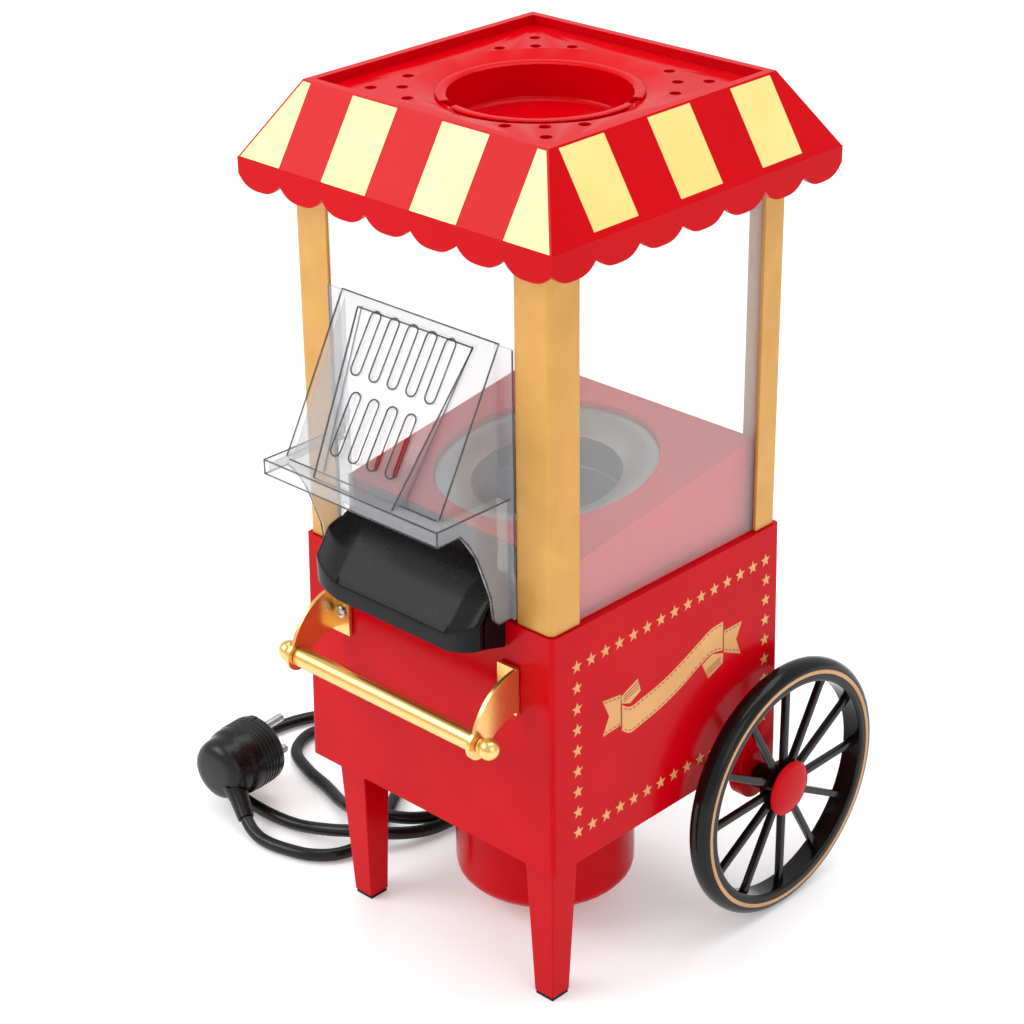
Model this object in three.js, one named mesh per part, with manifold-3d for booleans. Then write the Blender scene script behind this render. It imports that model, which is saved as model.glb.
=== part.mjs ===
// Table-top hot-air popcorn cart: a red square body on two front legs and two spoked wheels, four gold
// corner posts, clear windows and a slotted clear hood, a striped hipped roof with a lift-out measuring
// cup, and the fan, heater and popping chamber inside.
// Millimetres, +Z up. -Y is the front (handle and chute), +X the right side. The floor is z = 0, and the
// origin is under the middle of the object's floor area.
import * as THREE from 'three';
import { mergeVertices } from 'three/addons/utils/BufferGeometryUtils.js';
import Module from 'manifold-3d';

const wasm = await Module();
wasm.setup();

// ---------- driving dimensions ----------
const GAP = 0.3;                 // air left between neighbouring pieces
const ORIGIN_Y = 8;              // middle of the object's depth, in the drawing below

const BODY = { low: 84.5, high: 207.5, halfLow: 82, halfHigh: 80.5, corner: 2.4, inner: 1, wall: 2.5 };
const POST = { out: 79, thick: 2, front: [21, 18.5], rear: [20, 15], corner: 3, top: 418 };
const ROOF = { eave: 96, top: 74, eaveZ: 395.5, topZ: 431, fasciaZ: 388, lobe: 6, lobes: 7, skin: 2.5 };
const TRAY = { half: 70, z: 426.5, under: 422.5, dishR: 57, wellR: 47.3, wellZ: 423.2, boreR: 44.8 };
const CUP = { rim: 46.8, r: 43.8, inside: 41.9, rimZ: 424.6, floorZ: 406, notches: [[-16, -43], [43, 15]] };
const DECK = { half: 72, front: -59.5, rear: 70, rearZ: 253, slope: 0.151, skin: 2 };
const KETTLE = { y: 2.6, rimR: 53.8, boreR: 36.4, recess: 4.6, low: 150, top: 223.9 };
const WINDOW = { half: 76.7, thick: 1.7, low: 208, high: 416 };
const HOOD = {
  half: 49, topY: -78.8, topZ: 340, footY: -117, footZ: 270, thick: 1.6,
  ledge: 55.5, ledgeY: -125, ledgeZ: 269, rimZ: 262, lowZ: 210,
};
const CHUTE = { half: 53, flat: 35.6, bandZ: 195, wingRise: 9, bend: 38, swept: 4.5 };
const HANDLE = { x: 59, sheet: 2, barY: -107, barZ: 158.5, barR: 5, endR: 7.4, ballR: 5.2, ballX: 66.6 };
const WHEEL = { x: 94.2, y: 73, r: 68, half: 6, bore: 57, hubR: 11.5, hubFace: 3.2, spokes: 12, axleR: 3 };
const FAN = { r: 45.6, low: 15, wall: 2.2 };
const SWITCH = { x: 44, y: 79.5, z: 150, half: 9, swing: 8 };
const GLAND = { x: -45, z: 98, end: 110.2 };
const PLUG = { r: 19, half: 18, at: [-177.5, -54, 26.6], facing: [-0.1, 0.995, 0], pinR: 2.4, pinLength: 19 };
const CORD = { r: 3.4, sides: 8, steps: 90, bore: 3.75 };

const COLOUR = {
  red: [0xc8141e, 0.22, 0],
  gold: [0xd9a04c, 0.35, 0.1],
  brass: [0xe8c070, 0.2, 1],
  black: [0x2a2a2c, 0.45, 0],
  gloss: [0x0e0e10, 0.15, 0],
  clear: [0xf2f4f6, 0.08, 0],
  aluminium: [0x9a9c9c, 0.4, 1],
  steel: [0xb8bcc0, 0.3, 1],
  brown: [0x8a6a48, 0.7, 0],
  green: [0x2c6a3c, 0.6, 0],
  pvc: [0x151517, 0.35, 0],
};

// ---------- helpers ----------
const cart = new THREE.Group();
cart.position.y = -ORIGIN_Y;

function materialOf(name) {
  const [color, roughness, metalness] = COLOUR[name];
  const see = name === 'clear' ? { transparent: true, opacity: 0.35 } : {};
  return new THREE.MeshStandardMaterial({ color, roughness, metalness, ...see });
}

function add(name, geometry, colour) {
  const mesh = new THREE.Mesh(geometry, materialOf(colour));
  mesh.name = name;
  cart.add(mesh);
  return mesh;
}

// A closed geometry as a manifold-3d solid: shared corners merged, collapsed triangles dropped.
function solid(geometry) {
  const bare = geometry.clone();
  for (const key of Object.keys(bare.attributes)) {
    if (key !== 'position') bare.deleteAttribute(key);
  }
  const merged = mergeVertices(bare, 1e-4);
  const corners = merged.index.array;
  const kept = [];
  for (let i = 0; i < corners.length; i += 3) {
    const [a, b, c] = corners.slice(i, i + 3);
    if (a !== b && b !== c && c !== a) kept.push(a, b, c);
  }
  const vertProperties = Float32Array.from(merged.attributes.position.array);
  return new wasm.Manifold(new wasm.Mesh({ numProp: 3, vertProperties, triVerts: Uint32Array.from(kept) }));
}

function geometryOf(manifold) {
  const { vertProperties, triVerts } = manifold.getMesh();
  const geometry = new THREE.BufferGeometry();
  geometry.setAttribute('position', new THREE.BufferAttribute(vertProperties, 3));
  geometry.setIndex(new THREE.BufferAttribute(triVerts, 1));
  return geometry;
}

const union = (...geometries) => geometries.map(solid).reduce((sum, next) => sum.add(next));
const cut = (body, ...tools) => tools.reduce((left, tool) => left.subtract(solid(tool)), body);

// A box from its low corner to its high corner.
function block([x0, y0, z0], [x1, y1, z1]) {
  const box = new THREE.BoxGeometry(x1 - x0, y1 - y0, z1 - z0);
  return box.translate((x0 + x1) / 2, (y0 + y1) / 2, (z0 + z1) / 2);
}

// Moves each vertex by a rule that takes and returns [x, y, z].
function reshape(geometry, rule) {
  const at = geometry.attributes.position;
  for (let i = 0; i < at.count; i += 1) {
    at.setXYZ(i, ...rule([at.getX(i), at.getY(i), at.getZ(i)]));
  }
  return geometry;
}

// A square pyramid stump.
function stump(halfLow, halfHigh, z0, z1) {
  return reshape(block([-1, -1, z0], [1, 1, z1]), ([x, y, z]) => {
    const half = z < (z0 + z1) / 2 ? halfLow : halfHigh;
    return [x * half, y * half, z];
  });
}

function roundedSquare(half, radius) {
  const shape = new THREE.Shape();
  const near = half - radius;
  shape.moveTo(half, -near);
  shape.absarc(near, near, radius, 0, Math.PI / 2);
  shape.absarc(-near, near, radius, Math.PI / 2, Math.PI);
  shape.absarc(-near, -near, radius, Math.PI, 1.5 * Math.PI);
  shape.absarc(near, -near, radius, 1.5 * Math.PI, 2 * Math.PI);
  return shape;
}

function prism(shape, z0, z1, curveSegments = 5, steps = 1) {
  const options = { depth: z1 - z0, bevelEnabled: false, curveSegments, steps };
  return new THREE.ExtrudeGeometry(shape, options).translate(0, 0, z0);
}

const vector = (x, y, z) => new THREE.Vector3(x, y, z);
const outline = (points) => new THREE.Shape(points.map(([u, v]) => new THREE.Vector2(u, v)));

// A shape drawn in [y, z], or a list of such points, extruded along X.
function slab(drawn, x0, x1, curveSegments = 5, steps = 1) {
  const shape = Array.isArray(drawn) ? outline(drawn) : drawn;
  const axes = new THREE.Matrix4().makeBasis(vector(0, 1, 0), vector(0, 0, 1), vector(1, 0, 0));
  return prism(shape, x0, x1, curveSegments, steps).applyMatrix4(axes);
}

// A list of [x, z] points, extruded along Y.
function panel(points, y0, y1) {
  const axes = new THREE.Matrix4().makeBasis(vector(1, 0, 0), vector(0, 0, 1), vector(0, -1, 0));
  return prism(outline(points), -y1, -y0).applyMatrix4(axes);
}

// A profile of [radius, height] points, turned about Z. It starts and ends on the axis, or closes on itself.
function turned(profile, segments = 32) {
  const points = profile.map(([r, z]) => new THREE.Vector2(r, z));
  return new THREE.LatheGeometry(points, segments).rotateX(Math.PI / 2);
}

function rod(r, z0, z1, segments = 24) {
  return turned([[0, z0], [r, z0], [r, z1], [0, z1]], segments);
}

function ring(inner, outer, z0, z1, segments = 32) {
  return turned([[inner, z0], [outer, z0], [outer, z1], [inner, z1], [inner, z0]], segments);
}

const alongX = (geometry) => geometry.rotateY(Math.PI / 2);
const alongY = (geometry) => geometry.rotateX(-Math.PI / 2);

// Half the body's width and depth at a height: it widens a little downwards.
function wallHalf(z) {
  const share = (z - BODY.low) / (BODY.high - BODY.low);
  return BODY.halfLow + (BODY.halfHigh - BODY.halfLow) * share;
}

// ---------- body ----------
function bodyShell() {
  const flare = ([x, y, z]) => {
    const k = wallHalf(z) / BODY.halfHigh;
    return [x * k, y * k, z];
  };
  const outer = reshape(prism(roundedSquare(BODY.halfHigh, BODY.corner), BODY.low, BODY.high), flare);
  const inside = roundedSquare(BODY.halfHigh - BODY.wall, BODY.inner);
  const inner = reshape(prism(inside, BODY.low - 1, BODY.high - BODY.wall), flare);
  const opening = block([-62, -54, BODY.low], [62, 62, BODY.high + 1]);
  const holes = [-1, 1].map((side) =>
    alongY(rod(1.9, -4, 4, 12)).translate(side * SCREW.x, -wallHalf(SCREW.z), SCREW.z));
  const rear = BODY.halfHigh;
  const glandHole = alongY(rod(5.6, -4, 6, 20)).translate(GLAND.x, rear, GLAND.z);
  const switchHole = block([SWITCH.x - 11, rear - 5, SWITCH.z - 9], [SWITCH.x + 11, rear + 5, SWITCH.z + 9]);
  return cut(solid(outer), inner, opening, ...holes, glandHole, switchHole);
}

const BASE = { low: 86, high: 88.5, half: 79, screws: [[-70, -28], [70, -28], [-70, 34], [70, 34]] };
const SCREW = { x: 54.3, z: 175 };

function basePlate() {
  const plate = prism(roundedSquare(BASE.half, BODY.inner), BASE.low, BASE.high);
  const holes = BASE.screws.map(([x, y]) => rod(1.9, 80, 95, 12).translate(x, y, 0));
  const vents = [];
  for (let i = 0; i < 6; i += 1) {
    vents.push(block([-66, -16 + i * 9, 80], [-54, -12 + i * 9, 95]));
    vents.push(block([54, -16 + i * 9, 80], [66, -12 + i * 9, 95]));
  }
  return cut(solid(plate), rod(43, 80, 95), ...holes, ...vents);
}

add('body_shell', geometryOf(bodyShell()), 'red');
add('base_plate', geometryOf(basePlate()), 'black');
BASE.screws.forEach(([x, y], i) => {
  const profile = [[0, 83.6], [2, 83.6], [3.4, 84.6], [3.4, BASE.low - GAP], [1.6, BASE.low - GAP],
    [1.6, 94], [0, 94]];
  add(`base_screw_${i + 1}`, turned(profile, 12).translate(x, y, 0), 'steel');
});

// ---------- front legs and feet ----------
const LEG = { top: BASE.low - GAP, low: 1.8, outTop: 73, outLow: 69.2, inTop: 55, inLow: 57.3, pad: 5.5 };
const SIDES = [['left', -1], ['right', 1]];

function frontLeg(side) {
  return reshape(block([-0.5, -0.5, LEG.low], [0.5, 0.5, LEG.top]), ([x, y, z]) => {
    const high = z > LEG.low + 1;
    const inner = high ? LEG.inTop : LEG.inLow;
    const outer = high ? LEG.outTop : LEG.outLow;
    const middle = (inner + outer) / 2;
    const width = outer - inner;
    return [side * middle + x * width, -middle + y * width, z];
  });
}

for (const [name, side] of SIDES) {
  const foot = (LEG.outLow + LEG.inLow) / 2;
  const pad = block([-LEG.pad, -LEG.pad, 0], [LEG.pad, LEG.pad, LEG.low - GAP]);
  add(`${name}_leg`, frontLeg(side), 'red');
  add(`${name}_foot_pad`, pad.translate(side * foot, -foot, 0), 'black');
}

// ---------- rear axle and wheels ----------
const BRACKET = { x0: 70, x1: 78, r: 13, step: 76.5, stepZ: 84.2 };

function axleBracket(side) {
  const { y } = WHEEL;
  const { r, step, stepZ } = BRACKET;
  const top = BASE.low - GAP;
  const shape = new THREE.Shape();
  shape.moveTo(y - r, WHEEL.r);
  shape.absarc(y, WHEEL.r, r, Math.PI, 2 * Math.PI);
  shape.lineTo(y + r, stepZ);
  shape.lineTo(step, stepZ);
  shape.lineTo(step, top);
  shape.lineTo(y - r, top);
  const x = [side * BRACKET.x0, side * BRACKET.x1].sort((a, b) => a - b);
  const bore = alongX(rod(WHEEL.axleR + GAP, -90, 90, 16)).translate(0, y, WHEEL.r);
  return geometryOf(cut(solid(slab(shape, x[0], x[1], 8)), bore));
}

// Drawn about Z with its outer face up.
function wheelBody() {
  const { r, half, bore, hubR, hubFace } = WHEEL;
  const inner = [[bore, half - 1], [bore + 1.2, half], [r - 5, half], [r - 2.4, half - 0.9],
    [r - 0.7, half - 2.9], [r, half - 5.2]];
  const back = inner.map(([radius, z]) => [radius, -z]);
  const rim = turned([...back, ...inner.reverse(), back[0]], 48);
  const hub = rod(hubR, -half, hubFace);
  const collar = rod(6.5, -15.5, 0, 16);
  const spokes = [];
  for (let i = 0; i < WHEEL.spokes; i += 1) {
    const spoke = block([hubR - 2, -1.9, -1.6], [bore + 2, 1.9, 1.6]);
    spokes.push(spoke.rotateZ((i * 2 * Math.PI) / WHEEL.spokes));
  }
  return geometryOf(cut(union(rim, hub, collar, ...spokes), rod(WHEEL.axleR + GAP, -20, 20, 16)));
}

// Turns a piece drawn about Z so that its top faces outward on one side.
const outward = (geometry, side) => geometry.rotateY((side * Math.PI) / 2);

for (const [name, side] of SIDES) {
  const face = WHEEL.x + WHEEL.hubFace + GAP;
  const cap = turned([[0, 0], [14.5, 0], [14.5, 1], [13, 2], [6, 3.1], [0, 3.3]], 24);
  add(`${name}_axle_bracket`, axleBracket(side), 'red');
  add(`${name}_wheel`, outward(wheelBody(), side).translate(side * WHEEL.x, WHEEL.y, WHEEL.r), 'gloss');
  add(`${name}_hub_cap`, outward(cap, side).translate(side * face, WHEEL.y, WHEEL.r), 'red');
}
const axleEnd = WHEEL.x + WHEEL.hubFace - 0.5;
const axle = alongX(rod(WHEEL.axleR, -axleEnd, axleEnd, 16));
add('axle', axle.translate(0, WHEEL.y, WHEEL.r), 'steel');

// ---------- fan, motor and heater ----------
function fanHousing() {
  const { r, low, wall } = FAN;
  const top = BASE.low - GAP;
  const bowl = turned([
    [0, low], [r - 8, low], [r - 3, low + 1.6], [r - 0.6, low + 4.6], [r, low + 8], [r, top - 3],
    [r + 4, top - 3], [r + 4, top], [r - wall, top], [r - wall, low + 8], [r - 4, low + 4],
    [r - 8.5, low + wall], [0, low + wall],
  ], 40);
  const vents = [];
  for (let i = 0; i < 8; i += 1) {
    vents.push(block([14, -2.5, low - 1], [34, 2.5, low + 5]).rotateZ((i * Math.PI) / 4));
  }
  return geometryOf(cut(solid(bowl), ...vents));
}

const MOTOR = { r: 15, low: 40, high: 66, plate: 2, impellerLow: 68, impellerHigh: 81, impellerR: 38 };

function motorBracket() {
  const [low, high] = [MOTOR.low - GAP - MOTOR.plate, MOTOR.low - GAP];
  const arms = [0, 1, 2].map((i) =>
    block([12, -4, low], [FAN.r - FAN.wall - 1, 4, high]).rotateZ((i * 2 * Math.PI) / 3));
  return geometryOf(union(ring(39, FAN.r - FAN.wall - 0.4, low, high), rod(MOTOR.r + 2, low, high), ...arms));
}

function impeller() {
  const { impellerLow: low, impellerHigh: high, impellerR: r } = MOTOR;
  const blades = [];
  for (let i = 0; i < 8; i += 1) {
    const blade = block([5, -0.7, low], [r - 1, 0.7, high]);
    blades.push(blade.rotateZ((i * Math.PI) / 4));
  }
  return geometryOf(union(rod(7, MOTOR.high + GAP, high, 16), rod(r, low, low + 1.4), ...blades));
}

function turnedMotor() {
  return turned([[0, MOTOR.low], [MOTOR.r, MOTOR.low], [MOTOR.r, MOTOR.high - 3], [12, MOTOR.high],
    [0, MOTOR.high]], 24);
}

const HEATER = { r: 41.5, wall: 1.2, low: 88.8, high: 204, ringR: 33, tube: 1.8, rings: [110, 125] };

function heaterFrame() {
  const half = HEATER.r - 0.5;
  const along = block([-half, -0.5, 95], [half, 0.5, 140]);
  const across = block([-0.5, -half, 95], [0.5, half, 140]);
  const plates = union(along, across);
  const grooves = HEATER.rings.map((z) =>
    new THREE.TorusGeometry(HEATER.ringR, HEATER.tube + GAP, 8, 40).translate(0, 0, z));
  return geometryOf(cut(plates, ...grooves).translate(0, KETTLE.y, 0));
}

function poppingChamber() {
  const { low, top } = KETTLE;
  const cup = turned([
    [0, low], [33.5, low], [37.2, low + 3.7], [37.2, top], [36, top], [36, low + 4.2], [33, low + 1.2],
    [0, low + 1.2],
  ], 40);
  const vents = [];
  for (let i = 0; i < 12; i += 1) {
    vents.push(block([34, -5, low + 8], [40, 5, low + 10]).rotateZ((i * Math.PI) / 6));
  }
  return geometryOf(cut(solid(cup), ...vents).translate(0, KETTLE.y, 0));
}

function rectifierBoard() {
  const board = block([-55, 68, 110], [-15, 69.6, 136]);
  const parts = [[-52, 112], [-41, 112], [-30, 112], [-52, 124], [-30, 124]].map(([x, z]) =>
    block([x, 64, z], [x + 8, 68.5, z + 8]));
  return geometryOf(union(board, ...parts));
}

add('fan_housing', fanHousing(), 'red');
add('motor_bracket', motorBracket(), 'steel');
add('motor', turnedMotor(), 'steel');
add('impeller', impeller(), 'black');
const shroud = ring(HEATER.r, HEATER.r + HEATER.wall, HEATER.low, HEATER.high, 40);
add('heater_shroud', shroud.translate(0, KETTLE.y, 0), 'aluminium');
add('heater_frame', heaterFrame(), 'brown');
HEATER.rings.forEach((z, i) => {
  const loop = new THREE.TorusGeometry(HEATER.ringR, HEATER.tube, 8, 40);
  add(`heating_ring_${i + 1}`, loop.translate(0, KETTLE.y, z), 'steel');
});
add('thermostat', rod(8, 143.5, KETTLE.low - GAP, 20).translate(0, KETTLE.y, 0), 'steel');
add('popping_chamber', poppingChamber(), 'aluminium');
add('rectifier_board', rectifierBoard(), 'green');

// ---------- deck and kettle rim ----------
const deckAt = (y) => DECK.rearZ + (y - DECK.rear) * DECK.slope;

// Lays a piece drawn about Z, with the deck plane at z = 0, into the sloping deck.
function inDeck(geometry) {
  return geometry.rotateX(Math.atan(DECK.slope)).translate(0, KETTLE.y, deckAt(KETTLE.y));
}

function deckShell() {
  const { half, front, rear, skin } = DECK;
  const seat = BODY.high + GAP;
  const side = [[front, seat], [rear, seat], [rear, deckAt(rear)], [front, deckAt(front)]];
  const outer = slab(side, -half, half);
  const under = (y) => deckAt(y) - skin;
  const inner = slab([[front + skin, seat - 1], [rear - skin, seat - 1], [rear - skin, under(rear - skin)],
    [front + skin, under(front + skin)]], -half + skin, half - skin);
  const shell = cut(solid(outer), inner).add(solid(inDeck(rod(57, -8, -1, 40))));
  const recess = inDeck(rod(KETTLE.rimR + 0.4, -KETTLE.recess, 9, 40));
  return geometryOf(cut(shell, recess, inDeck(rod(47, -20, 9, 40))));
}

function kettleRim() {
  const seat = GAP - KETTLE.recess;
  const funnel = turned([
    [34, -11], [40, -11], [46.4, seat], [KETTLE.rimR, seat], [KETTLE.rimR, seat + 1.4], [47.6, seat + 1.4],
    [34, -9.2], [34, -11],
  ], 40);
  const neck = ring(KETTLE.boreR, KETTLE.boreR + 1.4, KETTLE.top + GAP, 246, 40).translate(0, KETTLE.y, 0);
  const trimmed = cut(solid(neck), inDeck(rod(60, -10, 40)));
  const bore = rod(KETTLE.boreR, 200, 270, 40).translate(0, KETTLE.y, 0);
  return geometryOf(cut(trimmed.add(solid(inDeck(funnel))), bore));
}

add('deck', deckShell(), 'red');
add('kettle_rim', kettleRim(), 'aluminium');

// ---------- posts and windows ----------
function cornerPost(sideX, sideY, [alongWidth, alongDepth]) {
  const { out, thick, corner } = POST;
  const bend = (r, from, to) => [0, 1, 2, 3].map((i) => {
    const angle = from + ((to - from) * i) / 3;
    return [out - corner + r * Math.cos(angle), out - corner + r * Math.sin(angle)];
  });
  const points = [
    [out, out - alongDepth], ...bend(corner, 0, Math.PI / 2), [out - alongWidth, out],
    [out - alongWidth, out - thick], ...bend(corner - thick, Math.PI / 2, 0), [out - thick, out - alongDepth],
  ];
  return prism(outline(points.map(([x, y]) => [sideX * x, sideY * y])), BODY.high + GAP, POST.top);
}

for (const [name, side] of SIDES) {
  const { half, thick, low, high } = WINDOW;
  const x = [side * half, side * (half - thick)].sort((a, b) => a - b);
  add(`front_${name}_post`, cornerPost(side, -1, POST.front), 'gold');
  add(`rear_${name}_post`, cornerPost(side, 1, POST.rear), 'gold');
  add(`${name}_window`, block([x[0], GAP - half, low], [x[1], half - GAP, high]), 'clear');
}
const between = WINDOW.half - WINDOW.thick - GAP;
const [paneIn, paneOut] = [WINDOW.half - WINDOW.thick, WINDOW.half];
add('rear_window', block([-between, paneIn, WINDOW.low], [between, paneOut, WINDOW.high]), 'clear');
add('front_window', block([-between, -paneOut, HOOD.topZ + 3], [between, -paneIn, WINDOW.high]), 'clear');

// ---------- hood ----------
// A four-sided stump lying on the hood's slope: half widths, front and back depths at its two ends.
function raisedPanel(halfTop, halfFoot, [frontTop, backTop, zTop], [frontFoot, backFoot, zFoot]) {
  return reshape(block([-1, 0, 0], [1, 1, 1]), ([x, y, z]) => (z > 0.5
    ? [x * halfTop, y > 0.5 ? backTop : frontTop, zTop]
    : [x * halfFoot, y > 0.5 ? backFoot : frontFoot, zFoot]));
}

function hoodSlot(x, from, to) {
  const lean = Math.atan2(66, 41.5);
  const halfLength = (to - from) / 2 - 3.1;
  const shape = new THREE.Shape();
  shape.absarc(0, halfLength, 3.1, 0, Math.PI);
  shape.absarc(0, -halfLength, 3.1, Math.PI, 2 * Math.PI);
  const down = (from + to) / 2 - 5.5;
  return prism(shape, -9, 9, 4).rotateX(lean)
    .translate(x, -81 - down * Math.cos(lean), 335 - down * Math.sin(lean));
}

function hoodShell() {
  const { half, topY, topZ, footY, footZ, thick, ledge, ledgeY, ledgeZ, rimZ, lowZ } = HOOD;
  const leaning = slab([[topY, topZ], [footY, footZ - 2], [footY + 1.4, footZ - 2.6], [topY, topZ - 3.3]],
    -half, half);
  const cheek = [[topY, topZ - 1], [footY + 0.5, footZ - 1], [topY, footZ - 1]];
  const skirt = [[-111, rimZ], [-101, 247.5], [-92.5, 224.6], [-91, 213], [-88, lowZ], [topY, lowZ],
    [topY, ledgeZ], [ledgeY, ledgeZ], [ledgeY, rimZ]];
  const inner = half - thick;
  const shelf = cut(solid(block([-ledge, ledgeY, ledgeZ - thick], [ledge, topY, ledgeZ])),
    block([-inner, footY + 1.4, rimZ], [inner, topY + 1, ledgeZ + 1]));
  const flanges = SIDES.flatMap(([, side]) => {
    const span = (from, to) => [side * from, side * to].sort((a, b) => a - b);
    const [high, low, wall] = [span(inner, 57.6), span(ledge - thick, 57.6), span(ledge - thick, ledge)];
    return [
      block([high[0], topY - 1.5, 232], [high[1], topY, topZ]),
      block([low[0], topY - 1.5, lowZ], [low[1], topY, rimZ]),
      slab(skirt, wall[0], wall[1]),
      slab(cheek, ...span(inner, half)),
    ];
  });
  const lip = block([-ledge, ledgeY, rimZ], [ledge, ledgeY + thick, ledgeZ]);
  const raised = raisedPanel(36, 25, [-81.6, -79, 335.5], [-122.5, -115, ledgeZ - 1]);
  const hollow = raisedPanel(34.4, 23.4, [-80.2, -77, 333], [-121, -112, rimZ]);
  const upper = [-23.4, -11.7, 0, 11.7, 23.4].map((x) => hoodSlot(x, 4.6, 34.6));
  const lower = [-17.5, -5.85, 5.85, 17.5].map((x) => hoodSlot(x, 41.3, 71.2));
  const whole = shelf.add(union(leaning, lip, raised, ...flanges));
  return geometryOf(cut(whole, hollow, ...upper, ...lower));
}

add('hood', hoodShell(), 'clear');

// ---------- chute ----------
const CHUTE_TOP = [[-60, 233], [-68, 231.6], [-75, 229], [-81, 225.6], [-86, 221.5], [-91, 216.6],
  [-95, 212], [-99, 207.4], [-102, 204]];
const CHUTE_UNDER = [[-99.5, 201.5], [-96.5, 206.1], [-92.5, 210.7], [-88.5, 215], [-83.5, 219.4],
  [-75, 225.5], [-60, 229.8]];

// How far out the chute's cross-sections are, from the middle to an end.
const CHUTE_AT = [35.6, 40, 45, 49, 51.5, 53];

// The chute's sides turn up, and its front edge turns back towards them.
function chuteShell() {
  const { half, flat, bandZ, wingRise, bend, swept } = CHUTE;
  const shaped = (geometry) => reshape(geometry, ([x, y, z]) => {
    const forward = Math.min(1, Math.max(0, (-81 - y) / 12));
    const lift = Math.max(0, Math.abs(x) - flat) * (wingRise / (half - flat)) * forward;
    const turn = Math.min(1, Math.max(0, Math.abs(x) - bend) / (half - bend));
    const back = swept * (1 - Math.sqrt(1 - turn * turn));
    const share = Math.min(1, Math.max(0, (-82 - y) / 18));
    return [x, y + back * share, z + lift * (z > bandZ + 0.1 ? 1 : 0.5)];
  });
  const sheet = [...CHUTE_TOP, [-102, bandZ], [-99.5, bandZ], ...CHUTE_UNDER];
  const cheek = [[-60, 208], [-60, 231], [-75, 227.5], [-86, 220], [-95, 210.2], [-100.5, 203],
    [-100.5, bandZ + 0.7], [-81.6, bandZ + 0.7], [-81.6, 208]];
  const cheeks = SIDES.map(([, side]) => {
    const [from, to] = [side * (half - 2.2), side * (half - 0.2)].sort((a, b) => a - b);
    return shaped(slab(cheek, from, to));
  });
  const spans = 2 * CHUTE_AT.length - 1;
  const spread = reshape(slab(sheet, -spans / 2, spans / 2, 5, spans), ([x, y, z]) =>
    [Math.sign(x) * CHUTE_AT[Math.round(Math.abs(x) - 0.5)], y, z]);
  return geometryOf(union(shaped(spread), ...cheeks));
}

add('chute', chuteShell(), 'black');

// ---------- handle ----------
const FLANGE = { back: -81.4, front: -83.4, inX: 49.3, low: 163, high: 187 };

function handleBracket(side) {
  const { x, sheet, barY, barZ, endR } = HANDLE;
  const arm = new THREE.Shape();
  arm.moveTo(FLANGE.back, FLANGE.high);
  arm.quadraticCurveTo(barY + 4, FLANGE.high - 2, barY - 3.5, barZ + 6.1);
  arm.absarc(barY, barZ, endR, (2 * Math.PI) / 3, (5 * Math.PI) / 3);
  arm.quadraticCurveTo(barY + 9, FLANGE.low + 1, FLANGE.back, FLANGE.low + 2);
  const span = (from, to) => [side * from, side * to].sort((a, b) => a - b);
  const [flangeX, armX] = [span(FLANGE.inX, x + sheet), span(x, x + sheet)];
  const flange = block([flangeX[0], FLANGE.front, FLANGE.low], [flangeX[1], FLANGE.back, FLANGE.high]);
  const hole = alongY(rod(1.9, -100, -70, 12)).translate(side * SCREW.x, 0, SCREW.z);
  return geometryOf(cut(union(slab(arm, armX[0], armX[1], 8), flange), hole));
}

function handleBall(side) {
  const { x, sheet, ballR, ballX } = HANDLE;
  const start = x + sheet + GAP;
  const sphere = [];
  for (let i = 0; i <= 10; i += 1) {
    const angle = Math.PI * (0.82 - (0.82 * i) / 10);
    sphere.push([ballR * Math.sin(angle), ballX + ballR * Math.cos(angle)]);
  }
  const profile = [[0, start], [3.6, start], [3.6, start + 0.6], ...sphere];
  return outward(turned(profile, 20), side).translate(0, HANDLE.barY, HANDLE.barZ);
}

for (const [name, side] of SIDES) {
  add(`${name}_handle_bracket`, handleBracket(side), 'brass');
  add(`${name}_handle_ball`, handleBall(side), 'brass');
  const screw = turned([[0, 76], [1.6, 76], [1.6, 83.7], [3.4, 83.7], [3.2, 84.8], [2, 85.6], [0, 85.8]], 12);
  add(`${name}_bracket_screw`, screw.rotateX(Math.PI / 2).translate(side * SCREW.x, 0, SCREW.z), 'steel');
}
const barEnd = HANDLE.x - GAP;
const bar = alongX(rod(HANDLE.barR, -barEnd, barEnd, 20));
add('handle_bar', bar.translate(0, HANDLE.barY, HANDLE.barZ), 'brass');

// ---------- roof ----------
function fasciaEdge() {
  const pitch = (2 * ROOF.eave) / ROOF.lobes;
  const edge = [];
  for (let i = 0; i < ROOF.lobes; i += 1) {
    for (let k = 0; k < 12; k += 1) {
      const u = k / 6 - 1;
      const drop = 1 - Math.abs(u) ** 3;
      edge.push([-ROOF.eave + (i + (u + 1) / 2) * pitch, ROOF.fasciaZ - ROOF.lobe * drop]);
    }
  }
  return [...edge, [ROOF.eave, ROOF.fasciaZ], [ROOF.eave, ROOF.eaveZ + 0.5], [-ROOF.eave, ROOF.eaveZ + 0.5]];
}

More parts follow.
